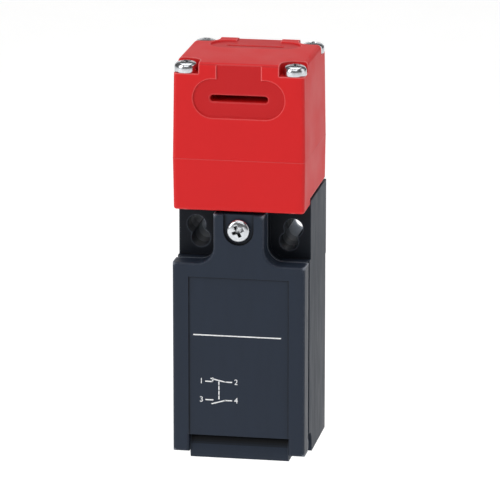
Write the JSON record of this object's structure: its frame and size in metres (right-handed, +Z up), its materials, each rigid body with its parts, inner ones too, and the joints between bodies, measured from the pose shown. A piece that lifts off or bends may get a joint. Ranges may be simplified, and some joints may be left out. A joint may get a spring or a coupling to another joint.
{
  "type": "safety interlock switch",
  "caption": "Narrow plastic safety switch with a red key-operated head on a black case: screw-down cover, cable entry below, key slots in front and on top.",
  "frame": {"origin": "middle of the case's width and depth, on the plane of its base", "axes": "+X to the right seen from the front, +Y from the front to the mounting wall, +Z up from the cable entry to the head"},
  "size_m": [0.03, 0.0309, 0.0911],
  "materials": {
    "red_plastic": "satin moulded",
    "black_plastic": "fine grain moulded",
    "ivory_plastic": "satin moulded",
    "grey_plastic": "satin moulded",
    "white_plastic": "low friction moulded",
    "zinc_steel": "bright zinc plated",
    "spring_steel": "drawn wire",
    "brass": "turned or stamped",
    "contact_silver": "silver rivet",
    "black_rubber": "matt"
  },
  "bodies": {
    "switch_body": {"case": "black_plastic", "cover_gasket": "black_rubber", "cover_screw_insert": "brass", "head_housing": "red_plastic", "head_screws": "zinc_steel", "head_clamp_plate": "zinc_steel", "cam_retainer": "grey_plastic", "cam_pin": "spring_steel", "plunger_seal": "black_rubber", "contact_block": "ivory_plastic", "contact_block_lid": "grey_plastic", "contact_block_screws": "zinc_steel", "fixed_tips": "contact_silver", "terminal_strips": "brass", "terminal_screws": "zinc_steel", "terminal_clamps": "zinc_steel", "return_spring": "spring_steel"},
    "cam": {"operating_cam": "white_plastic"},
    "plunger": {"plunger": "white_plastic", "contact_carrier": "grey_plastic", "contact_bridges": "brass", "bridge_tips": "contact_silver", "contact_spring": "spring_steel"},
    "cover": {"cover": "black_plastic", "cover_screw": "zinc_steel"}
  },
  "joints": [
    {"name": "cam_turn", "type": "hinge", "parent": "switch_body", "child": "cam", "pos_m": [0, 0, 0.0763], "axis": [-1, 0, 0], "range_deg": [0, 50]},
    {"name": "plunger_slide", "type": "slide", "parent": "switch_body", "child": "plunger", "axis": [0, 0, 1], "range_m": [0, 0.003], "deforming": ["return_spring"]},
    {"name": "cover_tilt", "type": "hinge", "parent": "switch_body", "child": "cover", "pos_m": [0, -0.0076, 0.0022], "axis": [1, 0, 0], "range_deg": [0, 75]}
  ],
  "couplings": [
    {"joint": "cam_turn", "follows": "plunger_slide", "rad_per_m": 290.89}
  ]
}
